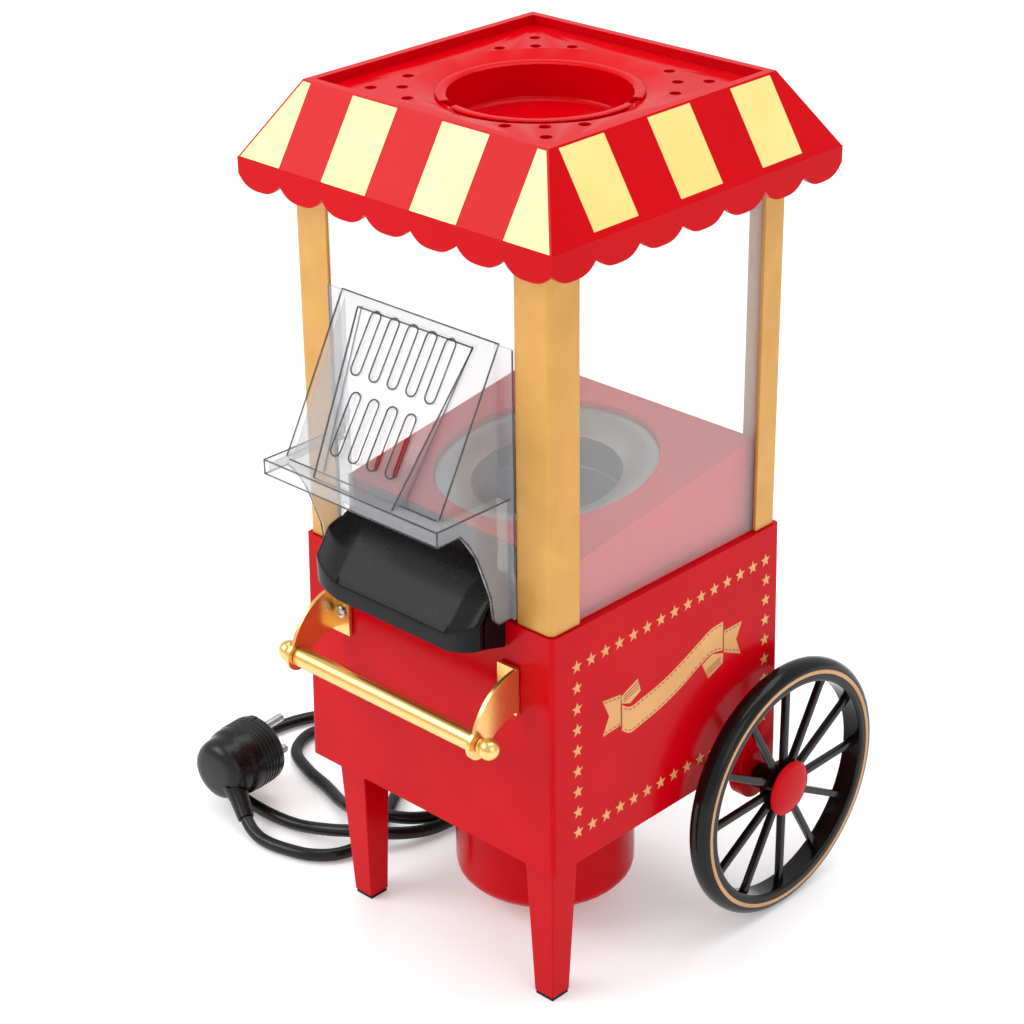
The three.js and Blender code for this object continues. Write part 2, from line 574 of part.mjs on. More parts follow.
function roofCanopy() {
  const { eave, top, eaveZ, topZ, skin } = ROOF;
  const { half, z, under, dishR, wellR, wellZ, boreR } = TRAY;
  const fall = (eave - top) / (topZ - eaveZ);
  const edge = fasciaEdge();
  const fascia = [
    panel(edge, -eave, -eave + skin), panel(edge, eave - skin, eave),
    slab(edge, -eave, -eave + skin), slab(edge, eave - skin, eave),
  ];
  const hollow = stump(eave - skin, eave - skin - fall * (under - eaveZ), eaveZ - 0.01, under);
  const tray = block([-half, -half, z], [half, half, 440]);
  const slopes = cut(solid(stump(eave, top, eaveZ, topZ)), hollow, tray);
  const collar = rod(boreR + 1.8, 404, under + 1, 40);
  const dish = turned([[0, wellZ], [wellR, wellZ], [dishR, z], [dishR, 440], [0, 440]], 40);
  const holes = [];
  for (let i = 0; i < 4; i += 1) {
    const diagonal = Math.PI / 4 + (i * Math.PI) / 2;
    for (const [r, turn] of [[61, -0.28], [61, 0], [61, 0.28], [75, 0]]) {
      const at = diagonal + turn;
      holes.push(rod(2.8, 415, 432, 10).translate(r * Math.cos(at), r * Math.sin(at), 0));
    }
  }
  const whole = slopes.add(union(...fascia, collar));
  return geometryOf(cut(whole, dish, rod(boreR, 400, 440, 40), ...holes));
}

function measuringCup() {
  const { rim, r, inside, rimZ, floorZ, notches } = CUP;
  const seat = TRAY.wellZ + GAP;
  const cup = turned([
    [0, floorZ - 1.8], [38.5, floorZ - 1.8], [42, floorZ - 0.4], [r - 0.2, floorZ + 2.5], [r, seat],
    [rim, seat], [rim, rimZ - 0.4], [rim - 0.6, rimZ], [inside + 1.4, rimZ], [inside, rimZ - 1.1],
    [inside - 0.1, floorZ + 3], [40.2, floorZ + 0.9], [37.5, floorZ], [0, floorZ],
  ], 40);
  return geometryOf(cut(solid(cup), ...notches.map(([x, y]) => rod(5, 421.5, 430, 16).translate(x, y, 0))));
}

add('roof_canopy', roofCanopy(), 'gold');
add('measuring_cup', measuringCup(), 'gold');

// ---------- switch, cord and plug ----------
function switchBezel() {
  const { x, z } = SWITCH;
  const flange = block([x - 13, 81.7, z - 9.5], [x + 13, 83.5, z + 9.5]);
  const neck = block([x - 10.6, 75.5, z - 8.6], [x + 10.6, 82, z + 8.6]);
  return geometryOf(cut(union(flange, neck), block([x - 9.4, 70, z - 7.5], [x + 9.4, 90, z + 7.5])));
}

function switchRocker() {
  const { x, y, z, half, swing } = SWITCH;
  const face = [[-3.6, -5.6], [3, -6.5], [5, -5], [4, 0], [5, 5], [3, 6.5], [-3.6, 5.6]];
  return slab(face, -half, half).rotateX((-swing * Math.PI) / 180).translate(x, y, z);
}

add('switch_bezel', switchBezel(), 'black');
add('switch_rocker', switchRocker(), 'gloss');
const gland = turned([
  [CORD.bore, 74.8], [7.5, 74.8], [7.5, 78.6], [5.3, 78.6], [5.3, 82.3], [8, 82.3], [8, 84.4], [5.8, 85.2],
  [4.6, GLAND.end], [CORD.bore, GLAND.end], [CORD.bore, 74.8],
], 20);
add('cord_gland', alongY(gland).translate(GLAND.x, 0, GLAND.z), 'pvc');

// Where the cord lies, from the plug to the gland. It crosses over itself twice.
const FLOOR = 3.8;
const OVER = 11.3;
const CORD_PATH = [
  [-160.5, -67.6, 15.2], [-157, -69, 12.7], [-152, -71, 9], [-145.5, -72.8, 5.8],
  [-138, -73.7, 4.1], [-130, -73.4, FLOOR], [-121, -71.5, FLOOR], [-107.5, -66.5, FLOOR],
  [-97.5, -57, FLOOR], [-93.5, -43, FLOOR], [-97, -28.5, FLOOR], [-104, -15, FLOOR], [-111, -3, FLOOR],
  [-119, 9, FLOOR], [-131, 24, FLOOR], [-149, 37.5, FLOOR], [-170, 43, FLOOR], [-189, 36, FLOOR],
  [-197.5, 17, FLOOR], [-189.5, -1.5, FLOOR], [-170, -10.5, FLOOR], [-150, -15, FLOOR],
  [-131, -21.5, 5.2], [-115, -25.5, 9], [-99.5, -22.5, OVER], [-88, -12, 9], [-83.3, 4, 5.4],
  [-87.5, 20, FLOOR], [-99, 31.5, FLOOR], [-115, 37.5, FLOOR], [-133, 43.5, FLOOR], [-152, 50, FLOOR],
  [-173, 53, FLOOR], [-194, 46.5, FLOOR], [-209, 32, FLOOR], [-216.5, 11, FLOOR], [-216.5, -11, FLOOR],
  [-208.5, -32, FLOOR], [-195, -46.5, FLOOR], [-177, -53, FLOOR], [-155, -54.5, FLOOR], [-132, -52.5, 4.8],
  [-112, -48.5, 8.6], [-95.5, -41, OVER], [-84, -27.5, 8.6], [-77.5, -9, 4.8], [-75.5, 14, FLOOR],
  [-77, 48, FLOOR], [-78, 80, FLOOR], [-76, 104, 4.2], [-73, 120, 6.5], [-66, 137, 15],
  [-56, 150, 31], [-48.5, 157, 47], [-45, 158.5, 63], [-45, 154, 80.5], [-45, 141, 93.3],
  [-45, 124, 97.8], [-45, 110, GLAND.z], [-45, 77, GLAND.z],
];

const towards = (axis) => new THREE.Quaternion().setFromUnitVectors(vector(0, 0, 1), axis);

function plugAxes(geometry) {
  return geometry.applyQuaternion(towards(vector(...PLUG.facing).normalize())).translate(...PLUG.at);
}

function plugBody() {
  const { r, half } = PLUG;
  return turned([[0, -half], [r - 7, -half], [r - 1.5, -half + 5], [r, -half + 9], [r, half - 1.2],
    [r - 1.2, half], [0, half]], 28);
}

function strainRelief() {
  const start = vector(-167, -65, 20);
  const along = vector(15, -6, -11);
  const length = along.length();
  const sleeve = turned([
    [CORD.bore, 0], [7, 0], [5.2, 8], [4.5, length], [CORD.bore, length], [CORD.bore, 0],
  ], 16);
  sleeve.applyQuaternion(towards(along.normalize())).translate(start.x, start.y, start.z);
  const clear = 1 + GAP / PLUG.half;
  return geometryOf(cut(solid(sleeve), plugAxes(plugBody().scale(clear, clear, clear))));
}

function powerCord() {
  const circle = new THREE.Shape();
  circle.absarc(0, 0, CORD.r, 0, 2 * Math.PI);
  const path = new THREE.CatmullRomCurve3(CORD_PATH.map((point) => vector(...point)), false, 'centripetal');
  const curveSegments = CORD.sides / 2;
  const options = { extrudePath: path, steps: CORD.steps, curveSegments, bevelEnabled: false };
  return new THREE.ExtrudeGeometry(circle, options);
}

add('power_cord', powerCord(), 'pvc');
add('plug_body', plugAxes(plugBody()), 'pvc');
add('plug_strain_relief', strainRelief(), 'pvc');
for (const [i, offset] of [-9.5, 9.5].entries()) {
  const { half, pinR, pinLength } = PLUG;
  const pin = rod(pinR, half + GAP, half + GAP + pinLength, 12).translate(0, offset, 0);
  add(`plug_pin_${i + 1}`, plugAxes(pin), 'steel');
}

export default cart;
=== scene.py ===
# Blender scene of a table-top popcorn cart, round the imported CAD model. Metres, +Z up, -Y the front.
import math

import bmesh
import bpy
from mathutils import Matrix, Vector


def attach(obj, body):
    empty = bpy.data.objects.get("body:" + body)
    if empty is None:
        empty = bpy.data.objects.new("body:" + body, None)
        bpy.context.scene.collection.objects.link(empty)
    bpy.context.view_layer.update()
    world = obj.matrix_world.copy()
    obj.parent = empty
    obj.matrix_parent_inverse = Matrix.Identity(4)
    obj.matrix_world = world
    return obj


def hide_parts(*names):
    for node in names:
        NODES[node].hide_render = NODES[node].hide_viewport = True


MM = 0.001
ORIGIN_Y = 8  # the drawing's y minus this is the frame's y, in mm

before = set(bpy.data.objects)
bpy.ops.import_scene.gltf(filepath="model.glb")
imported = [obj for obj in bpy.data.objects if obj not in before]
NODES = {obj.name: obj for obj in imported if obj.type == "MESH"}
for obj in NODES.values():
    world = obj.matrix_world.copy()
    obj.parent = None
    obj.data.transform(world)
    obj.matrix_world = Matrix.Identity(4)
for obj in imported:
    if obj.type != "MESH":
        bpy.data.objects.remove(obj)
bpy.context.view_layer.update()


def place(x, y, z):
    """A point of the drawing, in mm, as a vector of the frame, in metres."""
    return Vector((x, y - ORIGIN_Y, z)) * MM


# ---------- camera ----------
AZIMUTH, ELEVATION, ROLL = (math.radians(a) for a in (43.98, 26.19, -0.73))
EYE = place(759.0, -807.9, 760.8)
LENS, SENSOR = 90.66, 36.0


def make_camera():
    back = Vector((math.sin(AZIMUTH) * math.cos(ELEVATION), -math.cos(AZIMUTH) * math.cos(ELEVATION),
                   math.sin(ELEVATION)))
    level = Vector((math.cos(AZIMUTH), math.sin(AZIMUTH), 0))
    upright = back.cross(level)
    right = level * math.cos(ROLL) + upright * math.sin(ROLL)
    up = upright * math.cos(ROLL) - level * math.sin(ROLL)
    data = bpy.data.cameras.new("camera")
    data.lens = LENS
    data.sensor_width = SENSOR
    data.clip_start = 0.05
    data.clip_end = 20
    camera = bpy.data.objects.new("camera", data)
    camera.matrix_world = Matrix.LocRotScale(EYE, Matrix((right, up, back)).transposed(), None)
    bpy.context.scene.collection.objects.link(camera)
    bpy.context.scene.camera = camera


make_camera()


# ---------- materials ----------
def new_material(name):
    material = bpy.data.materials.new(name)
    material.use_nodes = True
    nodes, links = material.node_tree.nodes, material.node_tree.links
    return material, nodes, links, nodes["Principled BSDF"]


def noise_of(nodes, links, scale, detail, stretch=None):
    """A noise texture in the object's own metres, stretched along an axis where asked."""
    where = nodes.new("ShaderNodeTexCoord")
    noise = nodes.new("ShaderNodeTexNoise")
    noise.inputs["Scale"].default_value = scale
    noise.inputs["Detail"].default_value = detail
    if stretch:
        mapping = nodes.new("ShaderNodeMapping")
        mapping.inputs["Scale"].default_value = stretch
        links.new(where.outputs["Object"], mapping.inputs["Vector"])
        links.new(mapping.outputs["Vector"], noise.inputs["Vector"])
    else:
        links.new(where.outputs["Object"], noise.inputs["Vector"])
    return noise


def ramp_of(nodes, links, source, low, high, start=0.35, end=0.65):
    ramp = nodes.new("ShaderNodeMapRange")
    ramp.inputs["From Min"].default_value = start
    ramp.inputs["From Max"].default_value = end
    ramp.inputs["To Min"].default_value = low
    ramp.inputs["To Max"].default_value = high
    links.new(source, ramp.inputs["Value"])
    return ramp.outputs["Result"]


def tint_of(nodes, links, source, first, second):
    ramp = nodes.new("ShaderNodeValToRGB")
    ramp.color_ramp.elements[0].position = 0.3
    ramp.color_ramp.elements[1].position = 0.7
    ramp.color_ramp.elements[0].color = (*first, 1)
    ramp.color_ramp.elements[1].color = (*second, 1)
    links.new(source, ramp.inputs["Fac"])
    return ramp.outputs["Color"]


def bump_of(nodes, links, source, distance):
    bump = nodes.new("ShaderNodeBump")
    bump.inputs["Distance"].default_value = distance
    bump.inputs["Strength"].default_value = 0.3
    links.new(source, bump.inputs["Height"])
    return bump.outputs["Normal"]


def surface(name, first, second, rough, metallic=0.0, coat=0.0, grain=400, bump=0.02, stretch=None,
            specular=0.5):
    """A material whose colour, gloss and fine relief vary a little over the surface."""
    material, nodes, links, shader = new_material(name)
    broad = noise_of(nodes, links, grain * 0.06, 2)
    fine = noise_of(nodes, links, grain, 4, stretch)
    links.new(tint_of(nodes, links, broad.outputs["Fac"], first, second), shader.inputs["Base Color"])
    links.new(ramp_of(nodes, links, fine.outputs["Fac"], *rough), shader.inputs["Roughness"])
    links.new(bump_of(nodes, links, fine.outputs["Fac"], bump * MM), shader.inputs["Normal"])
    shader.inputs["Metallic"].default_value = metallic
    shader.inputs["Coat Weight"].default_value = coat
    shader.inputs["Coat Roughness"].default_value = 0.06
    shader.inputs["Specular IOR Level"].default_value = specular
    return material


def clear(name, alpha, tint, rough=0.03, coat=0.5):
    """Clear plastic: seen through face on, and denser and brighter at a grazing angle and on its edges."""
    material, nodes, links, shader = new_material(name)
    smudge = noise_of(nodes, links, 30, 3)
    weight = nodes.new("ShaderNodeLayerWeight")
    weight.inputs["Blend"].default_value = 0.35
    links.new(ramp_of(nodes, links, weight.outputs["Facing"], *alpha, 0.0, 1.0), shader.inputs["Alpha"])
    links.new(ramp_of(nodes, links, smudge.outputs["Fac"], rough, rough + 0.04), shader.inputs["Roughness"])
    shader.inputs["Base Color"].default_value = (*tint, 1)
    shader.inputs["Coat Weight"].default_value = coat
    shader.inputs["Coat Roughness"].default_value = 0.02
    return material


RED = surface("red_enamel", (0.46, 0.0, 0.004), (0.52, 0.0, 0.005), (0.18, 0.26), coat=0.03, bump=0.008,
              specular=0.07)
ROOF_RED = surface("red_gloss_plastic", (0.48, 0.0, 0.003), (0.54, 0.0, 0.004), (0.1, 0.18), coat=0.06,
                   grain=250, bump=0.01, specular=0.05)
GOLD = surface("satin_gold_paint", (0.56, 0.28, 0.055), (0.62, 0.32, 0.07), (0.36, 0.46), 0.35, 0.1,
               grain=900, bump=0.015, stretch=(1, 1, 0.06))
FOIL = surface("gold_foil", (0.87, 0.62, 0.19), (0.93, 0.69, 0.26), (0.24, 0.32), 0.15, 0.08, grain=300,
               bump=0.008, specular=0.3)
BRASS = surface("polished_gold", (0.80, 0.48, 0.15), (0.86, 0.54, 0.20), (0.22, 0.27), 0.9, 0.2, grain=300,
                bump=0.004, stretch=(0.08, 1, 1))
CHUTE_BLACK = surface("black_moulding", (0.003, 0.003, 0.0035), (0.005, 0.005, 0.0055), (0.22, 0.32),
                      grain=1400, bump=0.012, specular=0.12)
GLOSS_BLACK = surface("black_gloss", (0.003, 0.003, 0.003), (0.005, 0.005, 0.005), (0.14, 0.22), coat=0.1,
                      grain=500, bump=0.008, specular=0.18)
PVC = surface("black_pvc", (0.004, 0.004, 0.004), (0.007, 0.007, 0.007), (0.24, 0.34), grain=700, bump=0.02,
              specular=0.3)
ALUMINIUM = surface("spun_aluminium", (0.27, 0.27, 0.265), (0.36, 0.36, 0.35), (0.3, 0.38), 0.9, grain=300,
                    bump=0.008)
STEEL = surface("plain_steel", (0.5, 0.5, 0.51), (0.6, 0.6, 0.61), (0.22, 0.32), 1.0, grain=600, bump=0.01)
MICA = surface("mica_board", (0.32, 0.22, 0.12), (0.46, 0.34, 0.20), (0.55, 0.75), grain=500, bump=0.06)
BOARD = surface("circuit_board", (0.02, 0.13, 0.05), (0.03, 0.18, 0.07), (0.3, 0.45), grain=500)
PINSTRIPE = surface("copper_pinstripe", (0.50, 0.26, 0.11), (0.58, 0.32, 0.15), (0.3, 0.4), 0.4, grain=400)
PRINT = surface("tan_gold_print", (0.60, 0.29, 0.09), (0.68, 0.35, 0.12), (0.3, 0.42), 0.2, grain=500,
                bump=0.01)
PRINT_DARK = surface("dark_print", (0.24, 0.03, 0.015), (0.30, 0.05, 0.02), (0.3, 0.42), grain=500, bump=0.01)
PANE = clear("clear_window", (0.03, 0.35), (0.92, 0.94, 0.95))
HOOD = clear("clear_hood", (0.13, 0.7), (0.50, 0.51, 0.53))
HOOD_EDGE = clear("hood_cut_edges", (0.62, 0.9), (0.05, 0.05, 0.055), coat=0.0)


# ---------- mesh helpers; all of them take mm of the drawing ----------
def new_object(name, vertices, faces, materials, body, slot, replaced=(), smooth=True):
    mesh = bpy.data.meshes.new(name)
    mesh.from_pydata([place(*v) for v in vertices], [], faces)
    mesh.update()
    for material in materials:
        mesh.materials.append(material)
    obj = bpy.data.objects.new(name, mesh)
    bpy.context.scene.collection.objects.link(obj)
    shape = bmesh.new()
    shape.from_mesh(mesh)
    bmesh.ops.recalc_face_normals(shape, faces=shape.faces)
    shape.to_mesh(mesh)
    shape.free()
    for face in mesh.polygons:
        face.use_smooth = smooth
    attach(obj, body)
    if replaced:
        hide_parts(*replaced)
    return obj


def weigh_normals(obj):
    obj.modifiers.new("normals", "WEIGHTED_NORMAL").weight = 80


def soften(obj, width=0.4, segments=2, angle=32, flatten=True):
    """Rounds the sharp edges and shades the flat faces flat and the turned ones smooth."""
    obj.modifiers.new("weld", "WELD").merge_threshold = 0.002 * MM
    if flatten:
        planar = obj.modifiers.new("planar", "DECIMATE")
        planar.decimate_type = "DISSOLVE"
        planar.angle_limit = math.radians(0.4)
    bevel = obj.modifiers.new("edges", "BEVEL")
    bevel.width = width * MM
    bevel.segments = segments
    bevel.limit_method = "ANGLE"
    bevel.angle_limit = math.radians(angle)
    bevel.miter_outer = "MITER_ARC"
    weigh_normals(obj)
    return obj


def keep(name, material, width=0.4, segments=2, angle=32, flatten=True):
    """A CAD node that stays, with its own material and rounded edges."""
    obj = NODES[name]
    obj.data.materials.clear()
    obj.data.materials.append(material)
    for face in obj.data.polygons:
        face.use_smooth = True
    return soften(obj, width, segments, angle, flatten)


def swept(rings):
    """Vertices and faces of a skin over rings of the same count of points, closed at both ends."""
    count = len(rings[0])
    vertices = [p for ring in rings for p in ring]
    faces = []
    for i in range(len(rings) - 1):
        a, b = i * count, (i + 1) * count
        for k in range(count):
            n = (k + 1) % count
            faces.append((a + k, a + n, b + n, b + k))
    faces.append(tuple(range(count))[::-1])
    faces.append(tuple((len(rings) - 1) * count + k for k in range(count)))
    return vertices, faces


def join(*parts):
    vertices, faces = [], []
    for more, their in parts:
        start = len(vertices)
        vertices += more
        faces += [tuple(i + start for i in face) for face in their]
    return vertices, faces


def lathe(profile, segments, closed=False):
    """A profile of (radius, height) turned about Z. Ends on the axis close on one point each."""
    rings = []
    for k in range(segments):
        angle = 2 * math.pi * k / segments
        rings.append([(r * math.cos(angle), r * math.sin(angle), z) for r, z in profile])
    count = len(profile)
    vertices = [p for ring in rings for p in ring]
    faces = []
    for k in range(segments):
        a, b = k * count, ((k + 1) % segments) * count
        for i in range(count if closed else count - 1):
            j = (i + 1) % count
            low, high = profile[i][0] < 1e-6, profile[j][0] < 1e-6
            if low and high:
                continue
            if low:
                faces.append((i, a + j, b + j))
            elif high:
                faces.append((a + i, j, b + i))
            else:
                faces.append((a + i, a + j, b + j, b + i))
    return vertices, faces


def moved(part, rule):
    vertices, faces = part
    return [tuple(rule(*v)) for v in vertices], faces


def outward(part, side, at):
    """A part drawn about Z, laid so that its top faces outward on one side, at a point."""
    x0, y0, z0 = at
    return moved(part, lambda x, y, z: (x0 + side * z, y0 + y, z0 - side * x))


# ---------- cord and plug ----------
CORD_R = 3.4
FLOOR, OVER = 3.8, 11.3
CORD_PATH = [
    (-160.5, -67.6, 15.2), (-157, -69, 12.7), (-152, -71, 9), (-145.5, -72.8, 5.8), (-138, -73.7, 4.1),
    (-130, -73.4, FLOOR), (-121, -71.5, FLOOR), (-107.5, -66.5, FLOOR), (-97.5, -57, FLOOR),
    (-93.5, -43, FLOOR), (-97, -28.5, FLOOR), (-104, -15, FLOOR), (-111, -3, FLOOR), (-119, 9, FLOOR),
    (-131, 24, FLOOR), (-149, 37.5, FLOOR), (-170, 43, FLOOR), (-189, 36, FLOOR), (-197.5, 17, FLOOR),
    (-189.5, -1.5, FLOOR), (-170, -10.5, FLOOR), (-150, -15, FLOOR), (-131, -21.5, 5.2), (-115, -25.5, 9),
    (-99.5, -22.5, OVER), (-88, -12, 9), (-83.3, 4, 5.4), (-87.5, 20, FLOOR), (-99, 31.5, FLOOR),
    (-115, 37.5, FLOOR), (-133, 43.5, FLOOR), (-152, 50, FLOOR), (-173, 53, FLOOR), (-194, 46.5, FLOOR),
    (-209, 32, FLOOR), (-216.5, 11, FLOOR), (-216.5, -11, FLOOR), (-208.5, -32, FLOOR), (-195, -46.5, FLOOR),
    (-177, -53, FLOOR), (-155, -54.5, FLOOR), (-132, -52.5, 4.8), (-112, -48.5, 8.6), (-95.5, -41, OVER),
    (-84, -27.5, 8.6), (-77.5, -9, 4.8), (-75.5, 14, FLOOR), (-77, 48, FLOOR), (-78, 80, FLOOR),
    (-76, 104, 4.2), (-73, 120, 6.5), (-66, 137, 15), (-56, 150, 31), (-48.5, 157, 47), (-45, 158.5, 63),
    (-45, 154, 80.5), (-45, 141, 93.3), (-45, 124, 97.8), (-45, 110, 98), (-45, 100, 98),
]


def smooth_line(points, per_span=6):
    """Points along a centripetal Catmull-Rom curve."""
    knots = [Vector(p) for p in points]
    knots = [knots[0] * 2 - knots[1], *knots, knots[-1] * 2 - knots[-2]]
    line = []
    for a, b, c, d in zip(knots, knots[1:], knots[2:], knots[3:]):
        t0 = 0.0
        t1 = t0 + math.sqrt((b - a).length)
        t2 = t1 + math.sqrt((c - b).length)
        t3 = t2 + math.sqrt((d - c).length)
        for i in range(per_span):
            t = t1 + (t2 - t1) * i / per_span
            ab = a * ((t1 - t) / (t1 - t0)) + b * ((t - t0) / (t1 - t0))
            bc = b * ((t2 - t) / (t2 - t1)) + c * ((t - t1) / (t2 - t1))
            cd = c * ((t3 - t) / (t3 - t2)) + d * ((t - t2) / (t3 - t2))
            abc = ab * ((t2 - t) / (t2 - t0)) + bc * ((t - t0) / (t2 - t0))
            bcd = bc * ((t3 - t) / (t3 - t1)) + cd * ((t - t1) / (t3 - t1))
            line.append(abc * ((t2 - t) / (t2 - t1)) + bcd * ((t - t1) / (t2 - t1)))
    return [*line, knots[-2]]


def make_cord():
    line = [place(*p) for p in smooth_line(CORD_PATH)]
    curve = bpy.data.curves.new("mains_cord", "CURVE")
    curve.dimensions = "3D"
    curve.bevel_depth = CORD_R * MM
    curve.bevel_resolution = 5
    curve.use_fill_caps = True
    curve.materials.append(PVC)
    spline = curve.splines.new("POLY")
    spline.points.add(len(line) - 1)
    for point, at in zip(spline.points, line):
        point.co = (*at, 1)
    spline.use_smooth = True
    obj = bpy.data.objects.new("mains_cord", curve)
    bpy.context.scene.collection.objects.link(obj)
    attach(obj, "cart")
    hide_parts("power_cord")
    return obj, sum((b - a).length for a, b in zip(line, line[1:]))


CORD, CORD_LENGTH = make_cord()
PLUG_AT, PLUG_FACING = Vector((-177.5, -54, 26.6)), Vector((-0.1, 0.995, 0))


def plug_body():
    """A round earthed plug with a grip waist, a recessed face and two side clips."""
    skin = lathe([(0, -18), (9, -18), (12.5, -17.3), (15, -15.6), (16.6, -13), (17.2, -10), (17.2, -7),
                  (17.6, -5), (18.6, -3.4), (19, -1.5), (19, 16.6), (18.6, 17.6), (17.6, 18), (16.8, 17.7),
                  (16.4, 16.8), (16, 16.2), (0, 16.2)], 96)
    ribs = []
    for k in range(5):
        ribs.append(lathe([(18.9, 3 + k * 2.4), (19.35, 3.5 + k * 2.4), (19.35, 4.3 + k * 2.4),
                           (18.9, 4.8 + k * 2.4), (18.5, 3.9 + k * 2.4)], 96, closed=True))
    clips = [swept([[(x - 2.5, y, z), (x + 2.5, y, z), (x + 2.5, y + 1.2, z), (x - 2.5, y + 1.2, z)]
                    for z in (12, 17.4)]) for x, y in ((0, 17.9), (0, -19.1))]
    turn = Vector((0, 0, 1)).rotation_difference(PLUG_FACING.normalized())
    return moved(join(skin, *ribs, *clips), lambda x, y, z: PLUG_AT + turn @ Vector((x, y, z)))


keep("plug_strain_relief", PVC, 0.8, 3)
PLUG_PARTS = [new_object("mains_plug", *plug_body(), [PVC], "cart", "pvc", ["plug_body"]),
              NODES["plug_strain_relief"]]
for plug_node in ("plug_pin_1", "plug_pin_2"):
    PLUG_PARTS.append(keep(plug_node, STEEL, 0.9, 4))


# ---------- pieces that keep their CAD shape ----------
for node in ("body_shell", "left_leg", "right_leg", "left_axle_bracket", "right_axle_bracket", "deck"):
    keep(node, RED, 0.7, 3)
keep("fan_housing", RED, 0.3, 2, 50, flatten=False)
for node in ("roof_canopy", "measuring_cup"):
    keep(node, ROOF_RED, 0.3, 2, 40, flatten=False)
for node in ("front_left_post", "front_right_post", "rear_left_post", "rear_right_post"):
    keep(node, GOLD, 0.35, 2)
for node in ("left_window", "right_window", "rear_window", "front_window"):
    keep(node, PANE, 0.3, 2)
keep("hood", HOOD, 0.35, 2)
for node in ("base_plate", "left_foot_pad", "right_foot_pad", "impeller", "switch_bezel", "cord_gland"):
    keep(node, CHUTE_BLACK, 0.3, 2)
keep("switch_rocker", GLOSS_BLACK, 0.5, 3)
for node in ("left_handle_bracket", "right_handle_bracket", "left_handle_ball", "right_handle_ball",
             "handle_bar"):
    keep(node, BRASS, 0.4, 3)
for node in ("kettle_rim", "popping_chamber", "heater_shroud"):
    keep(node, ALUMINIUM, 0.2, 2, 50, flatten=False)
for node in ("axle", "motor", "motor_bracket", "heating_ring_1", "heating_ring_2", "thermostat",
             "left_bracket_screw", "right_bracket_screw",
             *(f"base_screw_{i}" for i in range(1, 5))):
    keep(node, STEEL, 0.25, 2)
keep("heater_frame", MICA, 0.15, 1)
keep("rectifier_board", BOARD, 0.2, 1)


# ---------- edges of the clear hood, which look dark because light leaves them sideways ----------
LIP_Y, LIP_TOP, LIP_BOTTOM = -125, 269, 262
PANEL_HIGH, PANEL_LOW = (-81, 335), (-122.5, 269)
SLOT_R, SLOT_RAISED = 3.1, 0.85
EDGE_R, SLOT_EDGE_R = 0.42, 0.4


def tube(points, radius, closed=False):
    """Straight round bars from point to point."""
    spots = [Vector(p) for p in points]
    if closed:
        spots.append(spots[0])
    parts = []
    for a, b in zip(spots, spots[1:]):
        along = (b - a).normalized()
        u = along.orthogonal().normalized()
        v = along.cross(u)
        ring = [(u * math.cos(math.pi * k / 4) + v * math.sin(math.pi * k / 4)) * radius for k in range(8)]
        parts.append(swept([[a + q for q in ring], [b + q for q in ring]]))
    return join(*parts)


def hood_slot(x, start, end):
    """The outline of a slot on the raised panel."""
    forward, down = PANEL_LOW[0] - PANEL_HIGH[0], PANEL_LOW[1] - PANEL_HIGH[1]
    fall, out = Vector((0, forward, down)).normalized(), Vector((0, down, -forward)).normalized()
    middle = Vector((x, *PANEL_HIGH)) + fall * ((start + end) / 2 - 5.5) + out * SLOT_RAISED
    half = (end - start) / 2 - SLOT_R
    ring = []
    for k in range(16):
        angle = math.pi * (k + 0.5) / 8
        reach = math.copysign(half, math.sin(angle)) + SLOT_R * math.sin(angle)
        ring.append(middle + Vector((SLOT_R * math.cos(angle), 0, 0)) - fall * reach)
    return ring


def hood_edges():
    """The lip, the sloping shell, its raised panel and the slots in it, edge by edge."""
    across = [(55.5, LIP_Y, LIP_TOP), (55.5, LIP_Y, LIP_BOTTOM), (49, -78.8, 340), (36, -81.6, 335.5),
              (25, -122.5, 268.6), (47, -117, LIP_TOP)]
    lines = [[(-x, y, z), (x, y, z)] for x, y, z in across]
    skirt = [(LIP_Y, LIP_TOP), (LIP_Y, LIP_BOTTOM), (-111, LIP_BOTTOM), (-106, 256), (-101, 247.5),
             (-96, 235), (-92.5, 224.6), (-91.6, 218), (-91, 213), (-88, 210), (-80, 210)]
    for side in (-1, 1):
        lines.append([(side * 55.3, y, z) for y, z in skirt])
        lines.append([(side * 55.3, LIP_Y, LIP_TOP), (side * 55.3, -80, LIP_TOP)])
        lines.append([(side * 48.8, -79, 339.6), (side * 48.8, -117, 270)])
        lines.append([(side * 36, -81.6, 335.5), (side * 25, -122.5, 268.6)])
        lines.append([(side * 34.8, -80.2, 335.5), (side * 25.6, -115.6, LIP_TOP)])
        lines.append([(side * 57.4, -79.6, 232.5), (side * 57.4, -79.6, 339.6)])
    slots = [hood_slot(x, 4.6, 34.6) for x in (-23.4, -11.7, 0, 11.7, 23.4)]
    slots += [hood_slot(x, 41.3, 71.2) for x in (-17.5, -5.85, 5.85, 17.5)]
    return join(*(tube(line, EDGE_R) for line in lines),
                *(tube(ring, SLOT_EDGE_R, True) for ring in slots))


new_object("hood_edges", *hood_edges(), [HOOD_EDGE], "hood_body", "clear_plastic")


# ---------- chute ----------
CHUTE_HALF, CHUTE_FLAT, CHUTE_BEND, BAND_Z = 53, 35.6, 38, 195
WING_RISE, SWEPT_BACK, CHEEK = 9, 4.5, 2
CHUTE_TOP = [(-60, 233), (-68, 231.6), (-75, 229), (-81, 225.6), (-86, 221.5), (-91, 216.6),
             (-95, 212), (-99, 207.4), (-102, 204)]
CHUTE_UNDER = [(-99.5, 201.5), (-96.5, 206.1), (-92.5, 210.7), (-88.5, 215), (-83.5, 219.4), (-75, 225.5),
               (-60, 229.8)]


